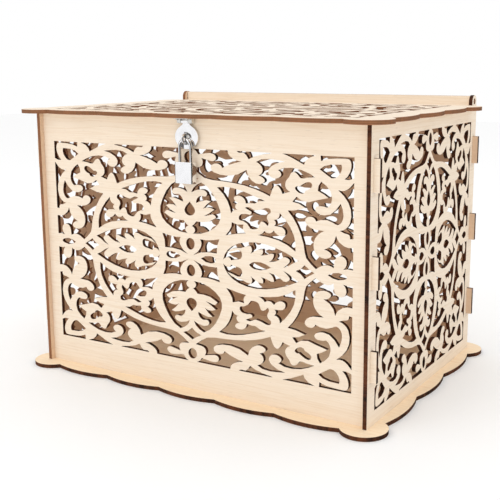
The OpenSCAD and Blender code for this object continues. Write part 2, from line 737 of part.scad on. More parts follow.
// Long leg on the left, bow through the staple's eye, short notched leg on the right
module padlock_shackle() {
  bow_mid = bow_z - leg_x;
  r = shackle_d / 2;
  color(bright_nickel)
    translate([0, eye_y, 0]) {
      translate([0, 0, bow_mid])
        rotate([90, 0, 0])
          rotate_extrude(angle = 180, $fn = 64)
            translate([leg_x, 0])
              circle(r = r, $fn = 32);
      translate([-leg_x, 0, long_leg_end])
        cylinder(r = r, h = bow_mid - long_leg_end + eps);
      translate([leg_x, 0, latch_z + latch_h / 2 + 0.2])
        cylinder(r = r, h = bow_mid - latch_z - latch_h / 2 - 0.2 + eps);
      translate([leg_x, 0, latch_z - latch_h / 2 - 0.2 - eps])
        cylinder(r = r - latch_bite, h = latch_h + 0.4 + 2 * eps);
      translate([leg_x, 0, short_leg_end])
        cylinder(r1 = r, r2 = r - latch_bite, h = cone_l);
    }
}

module padlock_body() {
  edge = 1.2;
  color(bright_nickel)
    translate([0, eye_y, 0])
      difference() {
        translate([0, 0, lock_bottom])
          linear_extrude(lock_h)
            rounded_rect(lock_w, lock_t, edge);
        translate([-leg_x, 0, long_leg_end - spring_l])
          cylinder(r = bore_r, h = lock_top - long_leg_end + spring_l + 1);
        translate([leg_x, 0, short_leg_end - 0.6])
          cylinder(r = bore_r, h = lock_top - short_leg_end + 1.6);
        // keyed barrel's bore
        translate([0, 0, lock_bottom - 1])
          cylinder(r = plug_r + 0.15, h = plug_l + 1.3);
        // channel for the latch
        translate([-1.6, -1.2, latch_z - latch_h / 2 - 0.3])
          cube([leg_x + 1.6, 2.4, latch_h + 0.6]);
      }
}

module rounded_rect(w, d, r) {
  square([w - 2 * r, d], center = true);
  square([w, d - 2 * r], center = true);
  for (x = [-1, 1], y = [-1, 1])
    translate([x * (w / 2 - r), y * (d / 2 - r)])
      circle(r = r);
}

// Keyed barrel, turned by the key from below
module lock_plug() {
  color("#c9b06a")
    translate([0, eye_y, lock_bottom])
      difference() {
        cylinder(r = plug_r, h = plug_l);
        translate([-0.35, -1.7, -1])
          cube([0.7, 3.4, 6]);
      }
}

// The latch bites into the short leg's notch
module lock_latch() {
  tip = leg_x - (shackle_d / 2 - latch_bite) - 0.1;
  color("#b9bcc0")
    translate([1.3, eye_y - 0.9, latch_z - latch_h / 2])
      cube([tip - 1.3, 1.8, latch_h]);
}

// A coil spring with closed ends, drawn as rings joined by sloping wire
module coil(r, wire, turns, length, sides = 6, per_turn = 10) {
  n = turns * per_turn;
  slope = (length - wire) / turns;
  pts = [
    for (i = [0:n], k = [0:sides - 1])
      let (a = i * 360 / per_turn, b = k * 360 / sides, q = r + wire / 2 * cos(b))
      [q * cos(a), q * sin(a), wire / 2 + i / per_turn * slope + wire / 2 * sin(b)]
  ];
  faces = concat(
    [[for (k = [0:sides - 1]) k]],
    [
      for (i = [0:n - 1], k = [0:sides - 1])
        let (a = i * sides + k, b = i * sides + (k + 1) % sides)
        [a, a + sides, b + sides, b]
    ],
    [[for (k = [sides - 1:-1:0]) n * sides + k]]
  );
  polyhedron(points = pts, faces = faces, convexity = 6);
}

module shackle_spring() {
  color("#c4c6c9")
    translate([-leg_x, eye_y, long_leg_end - spring_l])
      coil(r = 1.05, wire = 0.4, turns = 5, length = spring_l);
}

base_plate();
front_panel();
back_panel();
left_side();
right_side();
lid_panel();
hinge_rail();
hasp_lid_plate();
hasp_lid_screws();
hasp_pin();
hasp_leaf();
staple_plate();
staple();
staple_screws();
padlock_shackle();
padlock_body();
lock_plug();
lock_latch();
shackle_spring();
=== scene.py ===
"""Wedding card box: finishes, hardware, stage and camera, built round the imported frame."""

import math

import bmesh
import bpy
import numpy as np
from bpy.props import FloatProperty, FloatVectorProperty, PointerProperty
from mathutils import Matrix, Vector


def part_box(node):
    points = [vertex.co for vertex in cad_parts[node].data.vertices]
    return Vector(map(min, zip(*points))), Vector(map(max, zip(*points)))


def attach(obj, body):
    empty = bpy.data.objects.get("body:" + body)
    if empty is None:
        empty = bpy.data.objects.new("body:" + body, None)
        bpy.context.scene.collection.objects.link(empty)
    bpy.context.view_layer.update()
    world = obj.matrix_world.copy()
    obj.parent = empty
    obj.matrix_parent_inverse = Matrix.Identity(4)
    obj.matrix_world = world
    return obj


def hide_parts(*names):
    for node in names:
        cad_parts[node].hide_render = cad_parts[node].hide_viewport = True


bl_info = {
    "name": "Wedding card box",
    "version": (1, 0, 0),
    "blender": (4, 5, 0),
    "location": "View3D > Sidebar > Card box",
    "description": "Fretted plywood card box with a hasp and a small padlock",
    "category": "Object",
}

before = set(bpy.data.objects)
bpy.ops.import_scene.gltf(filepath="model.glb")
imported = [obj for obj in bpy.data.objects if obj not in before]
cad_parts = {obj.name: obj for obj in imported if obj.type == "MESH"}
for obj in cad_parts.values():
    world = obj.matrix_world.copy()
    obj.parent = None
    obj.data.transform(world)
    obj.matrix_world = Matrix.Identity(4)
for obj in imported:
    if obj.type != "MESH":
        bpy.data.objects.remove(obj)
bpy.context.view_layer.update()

X, Y, Z = 0, 1, 2


# ------------------------------------------------------------------ shader maths


class Sock:
    """A value socket that can be used in Python expressions; each operation adds one Math node."""

    def __init__(self, mat, socket):
        self.mat = mat
        self.socket = socket

    def _math(self, operation, *others, clamp=False):
        node = self.mat.tree.nodes.new("ShaderNodeMath")
        node.operation = operation
        node.use_clamp = clamp
        for i, value in enumerate((self, *others)):
            self.mat.feed(node.inputs[i], value)
        return Sock(self.mat, node.outputs[0])

    def _from(self, operation, first):
        node = self.mat.tree.nodes.new("ShaderNodeMath")
        node.operation = operation
        self.mat.feed(node.inputs[0], first)
        self.mat.feed(node.inputs[1], self)
        return Sock(self.mat, node.outputs[0])

    def __add__(self, other):
        return self._math("ADD", other)

    def __radd__(self, other):
        return self._from("ADD", other)

    def __sub__(self, other):
        return self._math("SUBTRACT", other)

    def __rsub__(self, other):
        return self._from("SUBTRACT", other)

    def __mul__(self, other):
        return self._math("MULTIPLY", other)

    def __rmul__(self, other):
        return self._from("MULTIPLY", other)

    def __truediv__(self, other):
        return self._math("DIVIDE", other)

    def __rtruediv__(self, other):
        return self._from("DIVIDE", other)

    def __abs__(self):
        return self._math("ABSOLUTE")

    def clamped(self):
        return self._math("ADD", 0.0, clamp=True)

    def fract(self):
        return self._math("FRACT")

    def step(self, low, high):
        """Smooth rise from 0 at low to 1 at high."""
        node = self.mat.tree.nodes.new("ShaderNodeMapRange")
        node.interpolation_type = "SMOOTHSTEP"
        self.mat.feed(node.inputs["Value"], self)
        node.inputs["From Min"].default_value = low
        node.inputs["From Max"].default_value = high
        return Sock(self.mat, node.outputs["Result"])


class Finish:
    """One material and the handful of calls that build it."""

    def __init__(self, name):
        self.mat = bpy.data.materials.new(name)
        self.mat.use_nodes = True
        self.tree = self.mat.node_tree
        self.shader = self.tree.nodes["Principled BSDF"]

    def feed(self, target, value):
        if isinstance(value, Sock):
            self.tree.links.new(value.socket, target)
        elif isinstance(value, bpy.types.NodeSocket):
            self.tree.links.new(value, target)
        else:
            target.default_value = value

    def node(self, kind, settings=None, **values):
        """A node of a type, its settings first, then its sockets by name."""
        node = self.tree.nodes.new(kind)
        for key, value in (settings or {}).items():
            setattr(node, key, value)
        for key, value in values.items():
            self.feed(node.inputs[key.replace("_", " ")], value)
        return node

    def place(self):
        """Object coordinates and the object's own surface direction, as x, y, z sockets."""
        coord = self.node("ShaderNodeTexCoord")
        point = self.node("ShaderNodeSeparateXYZ", Vector=coord.outputs["Object"])
        facing = self.node("ShaderNodeSeparateXYZ", Vector=coord.outputs["Normal"])
        return (
            [Sock(self, s) for s in point.outputs],
            [Sock(self, s) for s in facing.outputs],
        )

    def noise(self, point, scale, detail=3.0, rough=0.5, shift=0.0):
        """Noise from 0 to 1 with its own scale along each axis."""
        packed = self.node(
            "ShaderNodeCombineXYZ",
            X=point[0] * scale[0] + shift,
            Y=point[1] * scale[1] + shift * 1.7,
            Z=point[2] * scale[2] - shift * 0.6,
        )
        node = self.node(
            "ShaderNodeTexNoise",
            {"noise_dimensions": "3D"},
            Vector=packed.outputs[0],
            Scale=1.0,
            Detail=detail,
            Roughness=rough,
        )
        return Sock(self, node.outputs["Fac"])

    def mix(self, amount, a, b):
        """Colour a where amount is 0, colour b where it is 1."""
        node = self.tree.nodes.new("ShaderNodeMix")
        node.data_type = "RGBA"
        self.feed(node.inputs[0], amount)
        self.feed(node.inputs[6], a)
        self.feed(node.inputs[7], b)
        return node.outputs[2]

    def set(self, socket, value):
        self.feed(self.shader.inputs[socket], value)

    def bump(self, height, distance, strength=1.0):
        node = self.node("ShaderNodeBump", Height=height, Distance=distance, Strength=strength)
        self.set("Normal", node.outputs["Normal"])


def rgba(colour):
    return (*colour[:3], 1.0)


def linear(r, g, b):
    """A screen colour of 0 to 255 as linear light."""
    out = []
    for c in (r, g, b):
        c /= 255
        out.append(c / 12.92 if c <= 0.04045 else ((c + 0.055) / 1.055) ** 2.4)
    return tuple(out)


# ------------------------------------------------------------------ settings


class CardBoxWood(bpy.types.PropertyGroup):
    face: FloatVectorProperty(
        name="Veneer", description="Pale veneer of the panels and the lid", subtype="COLOR",
        size=3, min=0, max=1, default=linear(247, 232, 213))
    face_dark: FloatVectorProperty(
        name="Veneer grain", description="Darker grain in the panels' veneer", subtype="COLOR",
        size=3, min=0, max=1, default=linear(230, 206, 176))
    base: FloatVectorProperty(
        name="Base veneer", description="Warmer veneer of the base plate", subtype="COLOR",
        size=3, min=0, max=1, default=linear(255, 234, 203))
    base_dark: FloatVectorProperty(
        name="Base grain", description="Darker grain in the base plate", subtype="COLOR",
        size=3, min=0, max=1, default=linear(240, 206, 168))
    burnt: FloatVectorProperty(
        name="Burnt edge", description="Laser-cut edge where it is darkest", subtype="COLOR",
        size=3, min=0, max=1, default=linear(36, 18, 10))
    toasted: FloatVectorProperty(
        name="Toasted edge", description="Laser-cut edge where it is lightest", subtype="COLOR",
        size=3, min=0, max=1, default=linear(108, 60, 34))
    amber: FloatVectorProperty(
        name="Lightly browned edge", description="Cut edge where the laser ran cool",
        subtype="COLOR", size=3, min=0, max=1, default=linear(206, 146, 104))
    sheet: FloatProperty(
        name="Sheet thickness", description="Thickness of the plywood", unit="LENGTH",
        subtype="DISTANCE", default=0.003, min=0.001, max=0.01)
    grain_length: FloatProperty(
        name="Grain length", description="Length of a streak of grain", unit="LENGTH",
        subtype="DISTANCE", default=0.045, min=0.005, max=0.3)
    grain_width: FloatProperty(
        name="Grain width", description="Width of a streak of grain", unit="LENGTH",
        subtype="DISTANCE", default=0.0011, min=0.0002, max=0.01)


class CardBoxMetal(bpy.types.PropertyGroup):
    bright: FloatVectorProperty(
        name="Bright nickel", description="Polished plating of the padlock and the leaf",
        subtype="COLOR", size=3, min=0, max=1, default=linear(250, 250, 251))
    dull: FloatVectorProperty(
        name="Dull nickel", description="Plating of the small plates and screws",
        subtype="COLOR", size=3, min=0, max=1, default=linear(226, 224, 218))
    brass: FloatVectorProperty(
        name="Brass", description="Barrel of the padlock", subtype="COLOR",
        size=3, min=0, max=1, default=linear(201, 170, 100))
    rounding: FloatProperty(
        name="Edge rounding", description="Radius left on the metal's edges", unit="LENGTH",
        subtype="DISTANCE", default=0.00025, min=0.0, max=0.001)


class CardBoxStage(bpy.types.PropertyGroup):
    floor: FloatVectorProperty(
        name="Floor", description="Colour of the floor", subtype="COLOR",
        size=3, min=0, max=1, default=(0.985, 0.985, 0.985))
    sky: FloatProperty(
        name="Surrounding light", description="Strength of the even white light all round",
        default=1.0, min=0, max=20)
    key: FloatProperty(
        name="Key light", description="Power of the large soft lamp in front", unit="POWER",
        default=3.0, min=0, max=400)
    fill: FloatProperty(
        name="Fill light", description="Power of the soft lamp overhead", unit="POWER",
        default=2.0, min=0, max=400)
    camera_place: FloatVectorProperty(
        name="Camera", description="Where the camera stands", subtype="TRANSLATION",
        unit="LENGTH", size=3, default=(0.3768, -0.6159, 0.2452))
    azimuth: FloatProperty(
        name="Turn", description="How far the camera stands to the right of the front",
        subtype="ANGLE", default=math.radians(31.46))
    elevation: FloatProperty(
        name="Height angle", description="How far the camera looks down",
        subtype="ANGLE", default=math.radians(10.73))
    roll: FloatProperty(
        name="Roll", description="Tilt of the camera about its own line of sight",
        subtype="ANGLE", default=math.radians(-0.31))
    lens: FloatProperty(
        name="Lens", description="Focal length in millimetres", default=63.91, min=10, max=300)
    shift_x: FloatProperty(
        name="Shift across", description="Sideways shift of the picture", default=-0.0216)
    shift_y: FloatProperty(
        name="Shift up", description="Upward shift of the picture", default=-0.0384)


class CardBoxSettings(bpy.types.PropertyGroup):
    wood: PointerProperty(name="Wood", description="Plywood", type=CardBoxWood)
    metal: PointerProperty(name="Metal", description="Hasp and padlock", type=CardBoxMetal)
    stage: PointerProperty(name="Stage", description="Floor, light, camera", type=CardBoxStage)


# ------------------------------------------------------------------ finishes


def plywood(name, across, along, veneer, grain, burn=1.0, seed=0.0, low=0.0, inner=0):
    """Three-ply sheet: pale grained veneer on the flat faces, scorched plies on the cut edges.

    across is the sheet's own axis, along the grain's axis, low where the sheet begins, and inner
    says which way (1 or -1 along that axis) the inner face looks that takes painted shade; 0 for
    none."""
    wood = bpy.context.scene.card_box.wood
    f = Finish(name)
    point, facing = f.place()
    length, width = 1 / wood.grain_length, 1 / wood.grain_width
    fibre = [width] * 3
    fibre[along] = length
    band = [width * 0.1] * 3
    band[along] = length * 0.16
    pore = [width * 2.2] * 3
    pore[along] = length * 5

    streak = f.noise(point, fibre, 4.0, 0.6, seed)
    figure = f.noise(point, band, 3.0, 0.55, seed + 3.1)
    pores = f.noise(point, pore, 2.0, 0.5, seed + 7.7).step(0.62, 0.74)
    cloud = f.noise(point, [9.0] * 3, 2.0, 0.5, seed + 11.0)
    rings = (figure * 9.0).fract()
    rings = abs(rings - 0.5) * 2.0
    tone = (streak.step(0.35, 0.75) * 0.32 + rings.step(0.55, 1.0) * 0.22 + cloud * 0.22).clamped()
    veneer_colour = f.mix(tone, rgba(veneer), rgba(grain))
    pore_colour = tuple(c * 0.55 for c in grain)
    veneer_colour = f.mix(pores * 0.28, veneer_colour, rgba(pore_colour))
    # painted shade: faces looking into the box are darkened and reddened where shade falls inside it
    if inner:
        inner_shade_colour = tuple(c * k for c, k in zip(grain, (0.84, 0.66, 0.54)))
        inner_shade_mask = (facing[across] * inner).step(0.55, 0.85)
        veneer_colour = f.mix(inner_shade_mask * 0.6, veneer_colour, rgba(inner_shade_colour))

    # the cut edge: scorched, streaked through the sheet, with two darker glue lines
    depth = (point[across] - low) / wood.sheet
    glue = 1.0 - (abs(abs(depth - 0.5) - 0.17) * 1.0).step(0.02, 0.07)
    scorch_scale = [420.0] * 3
    scorch_scale[across] = 60.0
    scorch = f.noise(point, scorch_scale, 3.0, 0.6, seed + 5.0)
    patch = f.noise(point, [60.0] * 3, 2.0, 0.5, seed + 9.0)
    heat = (scorch * 0.5 + patch * 0.5).step(0.32, 0.68)
    edge_colour = f.mix(heat, rgba(wood.burnt), rgba(wood.toasted))
    if burn < 1:
        edge_colour = f.mix(1 - burn, edge_colour, rgba(wood.amber))
    dark = tuple(c * 0.6 for c in wood.burnt)
    edge_colour = f.mix(glue * 0.55, edge_colour, rgba(dark))

    flat = abs(facing[across]).step(0.55, 0.85)
    f.set("Base Color", f.mix(flat, edge_colour, veneer_colour))
    f.set("Roughness", 0.78 - flat * (0.2 - streak * 0.1))
    f.shader.inputs["IOR"].default_value = 1.45
    f.shader.inputs["Specular IOR Level"].default_value = 0.25
    height = flat * (streak * 0.6 - pores * 0.5) + (1.0 - flat) * (scorch * 0.8 + glue * 0.6)
    f.bump(height, 0.00012, 0.35)
    return f.mat


def plated(name, colour, rough, brushed=Z, wear=0.5):
    """Plated metal: fine brush lines along one axis, faint clouding and small scuffs."""
    f = Finish(name)
    point, _ = f.place()
    lines = [5200.0] * 3
    lines[brushed] = 160.0
    brush = f.noise(point, lines, 2.0, 0.5, 1.0)
    cloud = f.noise(point, [160.0] * 3, 3.0, 0.55, 4.0)
    scuff = f.noise(point, [900.0, 500.0, 700.0], 4.0, 0.7, 8.0).step(0.6, 0.72)
    dim = tuple(c * 0.8 for c in colour)
    f.set("Base Color", f.mix((cloud.step(0.4, 0.8) * 0.35 + scuff * wear * 0.5).clamped(),
                              rgba(colour), rgba(dim)))
    f.set("Roughness", (rough + brush * 0.07 + cloud * 0.05 + scuff * wear * 0.2).clamped())
    f.shader.inputs["Metallic"].default_value = 1.0
    f.bump(brush * 0.5 + scuff * 0.5, 0.00002, 0.25)
    return f.mat


def bare_floor(colour):
    """Plain pale floor with the faintest unevenness."""
    f = Finish("floor_paper")
    point, _ = f.place()
    grainy = f.noise(point, [300.0] * 3, 2.0, 0.5)
    low = tuple(c * 0.985 for c in colour)
    f.set("Base Color", f.mix(grainy, rgba(low), rgba(colour)))
    f.shader.inputs["Roughness"].default_value = 0.9
    f.shader.inputs["Specular IOR Level"].default_value = 0.1
    return f.mat


# ------------------------------------------------------------------ geometry helpers


def paint(obj, mat):
    obj.data.materials.clear()
    obj.data.materials.append(mat)


def paint_node(name, mat):
    """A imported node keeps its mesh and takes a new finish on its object."""
    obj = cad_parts[name]
    if not obj.material_slots:
        obj.data.materials.append(mat)
    for slot in obj.material_slots:
        slot.link = "OBJECT"
        slot.material = mat


def add_piece(name, verts, faces, mat, body, stands_for=(), smooth_angle=40.0):
    """Puts a worked-out surface into the scene and lets it ride its body."""
    mesh = bpy.data.meshes.new(name)
    mesh.from_pydata(verts.tolist(), [], faces)
    mesh.validate()
    bm = bmesh.new()
    bm.from_mesh(mesh)
    bmesh.ops.recalc_face_normals(bm, faces=bm.faces)
    bm.to_mesh(mesh)
    bm.free()
    return settle(name, mesh, mat, body, stands_for, smooth_angle)


def settle(name, mesh, mat, body, stands_for, smooth_angle=40.0):
    obj = bpy.data.objects.new(name, mesh)
    bpy.context.scene.collection.objects.link(obj)
    mesh.shade_smooth()
    mesh.set_sharp_from_angle(angle=math.radians(smooth_angle))
    paint(obj, mat)
    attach(obj, body)
    if stands_for:
        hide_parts(*stands_for)
    return obj


def eased_copy(node, name, mat, body, radius, segments=3):
    """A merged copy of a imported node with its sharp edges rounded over."""
    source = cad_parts[node]
    bm = bmesh.new()
    bm.from_mesh(source.data)
    bmesh.ops.remove_doubles(bm, verts=bm.verts, dist=1e-6)
    bmesh.ops.dissolve_limit(bm, angle_limit=math.radians(1.0), verts=bm.verts, edges=bm.edges)
    bmesh.ops.recalc_face_normals(bm, faces=bm.faces)
    mesh = bpy.data.meshes.new(name)
    bm.to_mesh(mesh)
    bm.free()
    obj = settle(name, mesh, mat, body, (node,))
    bevel = obj.modifiers.new("eased_edges", "BEVEL")
    bevel.width = radius
    bevel.segments = segments
    bevel.limit_method = "ANGLE"
    bevel.angle_limit = math.radians(40)
    bevel.use_clamp_overlap = True
    bevel.harden_normals = True
    bevel.harden_normals = True
    return obj


def tube(path, radius, sides, out_of_plane):
    """A round bar along a path: p(i) + r(i) (u cos t + w sin t), for t all the way round.

    u is the path's direction crossed with out_of_plane, w the direction crossed with u."""
    path = np.asarray(path, float)
    radius = np.broadcast_to(np.asarray(radius, float), (len(path),))
    along = np.gradient(path, axis=0)
    along /= np.linalg.norm(along, axis=1)[:, None]
    u = np.cross(along, out_of_plane)
    u /= np.linalg.norm(u, axis=1)[:, None]
    w = np.cross(along, u)
    turn = np.linspace(0, 2 * math.pi, sides, endpoint=False)
    ring = u[:, None, :] * np.cos(turn)[None, :, None] + w[:, None, :] * np.sin(turn)[None, :, None]
    verts = (path[:, None, :] + ring * radius[:, None, None]).reshape(-1, 3)
    return verts, grid_faces(len(path), sides)


def grid_faces(rows, cols):
    """Quads of a grid that closes on itself sideways, with an end cap on the first and last row."""
    i = np.arange(rows - 1)[:, None] * cols
    k = np.arange(cols)[None, :]
    n = (k + 1) % cols
    quads = np.stack([i + k, i + n, i + cols + n, i + cols + k], axis=-1).reshape(-1, 4)
    faces = quads.tolist()
    faces.append(list(range(cols))[::-1])
    faces.append(list(range((rows - 1) * cols, rows * cols)))
    return faces


def turned(profile, origin, axis, sides=40):
    """A turned piece: (radius, height) pairs swept in a circle about an axis through origin."""
    profile = np.asarray(profile, float)
    axis = np.asarray(axis, float)
    ref = np.array([1.0, 0, 0]) if abs(axis[0]) < 0.9 else np.array([0, 0, 1.0])
    u = np.cross(axis, ref)
    u /= np.linalg.norm(u)
    w = np.cross(axis, u)
    turn = np.linspace(0, 2 * math.pi, sides, endpoint=False)
    ring = u[None, :] * np.cos(turn)[:, None] + w[None, :] * np.sin(turn)[:, None]
    verts = np.asarray(origin) + ring[None] * profile[:, 0, None, None]
    verts = verts + axis * profile[:, 1, None, None]
    return verts.reshape(-1, 3), grid_faces(len(profile), sides)


def rounded_outline(half_w, half_d, corner, per_corner=8):
    """A rectangle whose four corners are quarter circles, as (x, y) pairs in turning order.

    A further point just past each end of an arc keeps the sides' shading flat."""
    a = np.linspace(0, math.pi / 2, per_corner)
    margin = 0.0002
    points = []
    for k, (sx, sy) in enumerate(((1, 1), (-1, 1), (-1, -1), (1, -1))):
        turn = a + k * math.pi / 2
        arc = np.stack([sx * (half_w - corner) + corner * np.cos(turn),
                        sy * (half_d - corner) + corner * np.sin(turn)], axis=1)
        before = arc[:1] + margin * np.array([[np.sin(turn[0]), -np.cos(turn[0])]])
        after = arc[-1:] + margin * np.array([[-np.sin(turn[-1]), np.cos(turn[-1])]])
        points.append(np.concatenate([before, arc, after]))
    return np.concatenate(points)


def join_rings(bm, rings):
    """Quads between each ring of points and the next."""
    for low, high in zip(rings, rings[1:]):
        n = len(low)
        for i in range(n):
            bm.faces.new((low[i], low[(i + 1) % n], high[(i + 1) % n], high[i]))


def loop_edges(bm, ring):
    """The edges round a closed ring of points, made where they are missing."""
    n = len(ring)
    pairs = [(ring[i], ring[(i + 1) % n]) for i in range(n)]
    return [bm.edges.get(pair) or bm.edges.new(pair) for pair in pairs]


def bored(bm, place, radius, level, depth, sides=28):
    """A blind round hole: a circle at its mouth, the same circle at its floor, and a flat floor."""
    turn = np.linspace(0, 2 * math.pi, sides, endpoint=False)
    ring = [(place[0] + radius * math.cos(t), place[1] + radius * math.sin(t)) for t in turn]
    mouth = [bm.verts.new((x, y, level)) for x, y in ring]
    floor = [bm.verts.new((x, y, level + depth)) for x, y in ring]
    join_rings(bm, [mouth, floor])
    bm.faces.new(floor)
    return mouth


def span(node):
    low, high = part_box(node)
    return np.array(low), np.array(high)


# ------------------------------------------------------------------ operators


class CARDBOX_OT_walls(bpy.types.Operator):
    """Plywood finish on the four walls"""

    bl_idname = "cardbox.walls"
    bl_label = "Walls"

    def execute(self, context):
        wood = context.scene.card_box.wood
        # the last number says which way each wall's inner face looks; that face takes painted shade
        for i, (node, across, burn, inner) in enumerate((
            ("front_panel", Y, 1.0, 1), ("back_panel", Y, 1.0, -1),
            ("left_side", X, 0.6, 1), ("right_side", X, 1.0, -1),
        )):
            low, high = span(node)
            start = low[across] if across == Y else (low[0] + high[0]) / 2 - wood.sheet / 2
            along = X if across == Y else Y
            paint_node(node, plywood(f"{node}_ply", across, along, wood.face, wood.face_dark,
                                     burn, 1.3 * i, start, inner))
        return {"FINISHED"}


class CARDBOX_OT_base(bpy.types.Operator):
    """Plywood finish on the base plate"""

    bl_idname = "cardbox.base"
    bl_label = "Base"

    def execute(self, context):
        wood = context.scene.card_box.wood
        paint_node("base_plate", plywood("base_ply_finish", Z, X, wood.base, wood.base_dark,
                                         1.0, 6.1, 0.0))
        return {"FINISHED"}


class CARDBOX_OT_lid(bpy.types.Operator):
    """Plywood finish on the lid and its hinge rail"""

    bl_idname = "cardbox.lid"
    bl_label = "Lid"

    def execute(self, context):
        wood = context.scene.card_box.wood
        low, _ = span("lid_panel")
        paint_node("lid_panel", plywood("lid_ply_finish", Z, X, wood.face, wood.face_dark,
                                        0.6, 8.2, low[2]))
        low, _ = span("hinge_rail")
        paint_node("hinge_rail", plywood("rail_ply_finish", Y, X, wood.face, wood.face_dark,
                                         0.6, 9.4, low[1]))
        return {"FINISHED"}


class CARDBOX_OT_hasp(bpy.types.Operator):
    """Hasp: plate under the lid, pin, leaf, staple and screws"""

    bl_idname = "cardbox.hasp"
    bl_label = "Hasp"

    def execute(self, context):
        metal = context.scene.card_box.metal
        bright = plated("bright_nickel_finish", metal.bright, 0.06, Z)
        dull = plated("dull_nickel_finish", metal.dull, 0.3, X)
        ease = metal.rounding
        eased_copy("hasp_leaf", "leaf", bright, "leaf", ease * 0.9)
        eased_copy("hasp_lid_plate", "lid_hasp_plate", dull, "lid", ease * 0.5, 2)
        eased_copy("staple_plate", "staple_backplate", dull, "box", ease * 0.7, 2)
        for node in ("hasp_lid_screws", "staple_screws"):
            paint_node(node, dull)
        self.pin(bright)
        self.staple(bright)
        return {"FINISHED"}

    def pin(self, mat):
        """A straight pin with domed ends: quarter circles at both ends of a cylinder."""
        low, high = span("hasp_pin")
        r = (high[2] - low[2]) / 2
        centre = (low + high) / 2
        a = np.linspace(0, math.pi / 2, 7)
        half = (high[0] - low[0]) / 2
        dome = r * 0.5
        left = np.stack([r * np.sin(a), -half + dome * (1 - np.cos(a))], axis=1)
        left[0, 0] = r * 0.02
        right = np.stack([left[::-1, 0], -left[::-1, 1]], axis=1)
        verts, faces = turned(np.concatenate([left, right]), centre, (1, 0, 0), 28)
        add_piece("leaf_pin", verts, faces, mat, "lid", ("hasp_pin",))

    def staple(self, mat):
        """Bent wire: a straight leg, a half circle in the upright plane, and a straight leg back."""
        low, high = span("staple")
        wire = (high[0] - low[0]) / 2
        mean = (high[2] - low[2]) / 2 - wire
        mid_z = (high[2] + low[2]) / 2
        eye_y = low[1] + wire + mean
        turn = np.linspace(0, math.pi, 33)
        bend = np.stack([np.zeros_like(turn), eye_y - mean * np.sin(turn),
                         mid_z + mean * np.cos(turn)], axis=1)
        back = np.linspace(high[1], eye_y, 5)[:-1]
        top = np.stack([np.zeros_like(back), back, np.full_like(back, mid_z + mean)], axis=1)
        bottom = top[::-1].copy()
        bottom[:, 2] = mid_z - mean
        path = np.concatenate([top, bend, bottom])
        verts, faces = tube(path, wire, 20, (1.0, 0.0, 0.0))
        add_piece("staple_wire", verts, faces, mat, "box", ("staple",))


